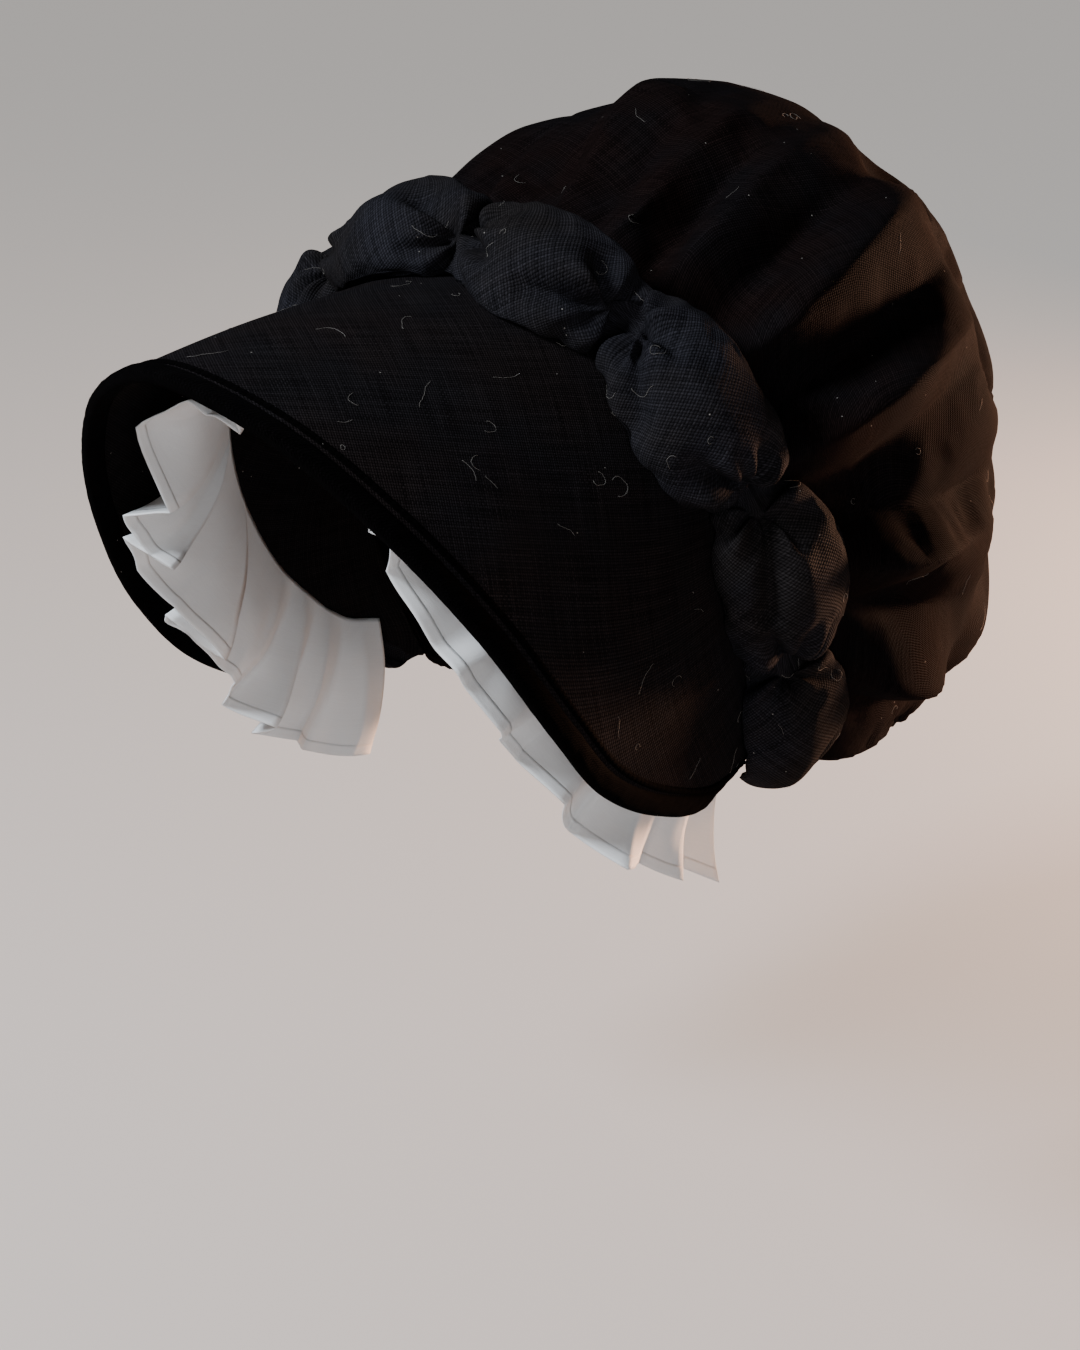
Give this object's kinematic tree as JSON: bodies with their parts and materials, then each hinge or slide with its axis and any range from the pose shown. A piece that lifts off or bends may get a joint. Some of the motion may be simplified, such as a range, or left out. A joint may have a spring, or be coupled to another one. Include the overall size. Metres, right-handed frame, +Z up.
{
  "type": "poke bonnet",
  "caption": "Worn cloth bonnet: stiff flared brim with a corded edge, band of gathered puffs, full folded crown, and a pleated frill round the face.",
  "frame": {"origin": "the head's seat: the middle of the head opening, in the leaning plane of the seam between brim and crown", "axes": "-Y the way the face looks, +X the wearer's left, +Z up as worn"},
  "size_m": [0.2524, 0.3653, 0.2523],
  "materials": {
    "brim_cotton": "matte ribbed black cotton over a stiffener",
    "bias_cotton": "matte black cotton cut on the bias",
    "puff_cotton": "matte plain-weave black cotton",
    "crown_cotton": "matte plain-weave black cotton",
    "white_lawn": "thin starched white lawn"
  },
  "bodies": {
    "root": {"brim": "brim_cotton", "brim_piping": "bias_cotton", "puff_band": "puff_cotton", "crown": "crown_cotton", "frill": "white_lawn"}
  },
  "joints": []
}
